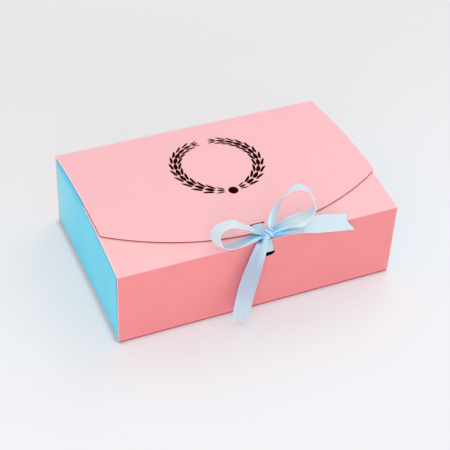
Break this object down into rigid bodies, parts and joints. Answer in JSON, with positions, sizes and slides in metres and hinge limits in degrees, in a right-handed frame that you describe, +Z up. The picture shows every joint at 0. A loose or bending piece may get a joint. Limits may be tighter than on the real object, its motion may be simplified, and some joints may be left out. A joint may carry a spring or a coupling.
{
  "type": "gift box",
  "caption": "Long folded card gift box: a wrap-around cover with an overlapping rounded lid, a sliding inner tray and a ribbon bow at the front.",
  "frame": {"origin": "on the middle of the cover's flat underside, at the height of the surface it stands on", "axes": "+X along the box to the right seen from the bow side, +Y from the front wall to the back crease, +Z up"},
  "size_m": [0.2418, 0.1743, 0.1068],
  "materials": {
    "pink_card": "matt printed pink card",
    "white_card": "matt white card, the unprinted side",
    "blue_card": "matt printed light blue card",
    "blue_satin": "soft light blue satin ribbon"
  },
  "bodies": {
    "cover": {"cover_bottom": "pink_card", "cover_front_wall": "pink_card", "cover_back_wall": "pink_card", "ribbon_inner_run": "blue_satin"},
    "lid": {"lid": "pink_card", "ribbon_knot": "blue_satin", "ribbon_left_loop": "blue_satin", "ribbon_right_loop": "blue_satin", "ribbon_right_tail": "blue_satin", "ribbon_lid_strand": "blue_satin"},
    "front_flap": {"front_flap": "pink_card"},
    "tray": {"tray_base": "white_card", "tray_front_wall": "white_card", "tray_back_wall": "white_card", "tray_left_end": "blue_card", "tray_right_end": "blue_card", "tray_corner_tab_left_front": "white_card", "tray_corner_tab_left_back": "white_card", "tray_corner_tab_right_front": "white_card", "tray_corner_tab_right_back": "white_card"},
    "front_tail": {"ribbon_front_tail": "blue_satin"}
  },
  "joints": [
    {"name": "lid_hinge", "type": "hinge", "parent": "cover", "child": "lid", "pos_m": [0, 0.0795, 0.0695], "axis": [-1, 0, 0], "range_deg": [0, 180]},
    {"name": "flap_hinge", "type": "hinge", "parent": "cover", "child": "front_flap", "pos_m": [0, -0.0795, 0.0695], "axis": [1, 0, 0], "range_deg": [0, 90]},
    {"name": "tail_swing", "type": "hinge", "parent": "lid", "child": "front_tail", "pos_m": [0.0043, -0.0815, 0.0725], "axis": [-1, 0, 0], "range_deg": [-90, 0]},
    {"name": "tray_slide", "type": "slide", "parent": "cover", "child": "tray", "axis": [1, 0, 0], "range_m": [-0.24, 0.24]}
  ],
  "couplings": [
    {"joint": "flap_hinge", "follows": "lid_hinge", "ratio": 0.5},
    {"joint": "tail_swing", "follows": "lid_hinge", "ratio": -0.5}
  ]
}
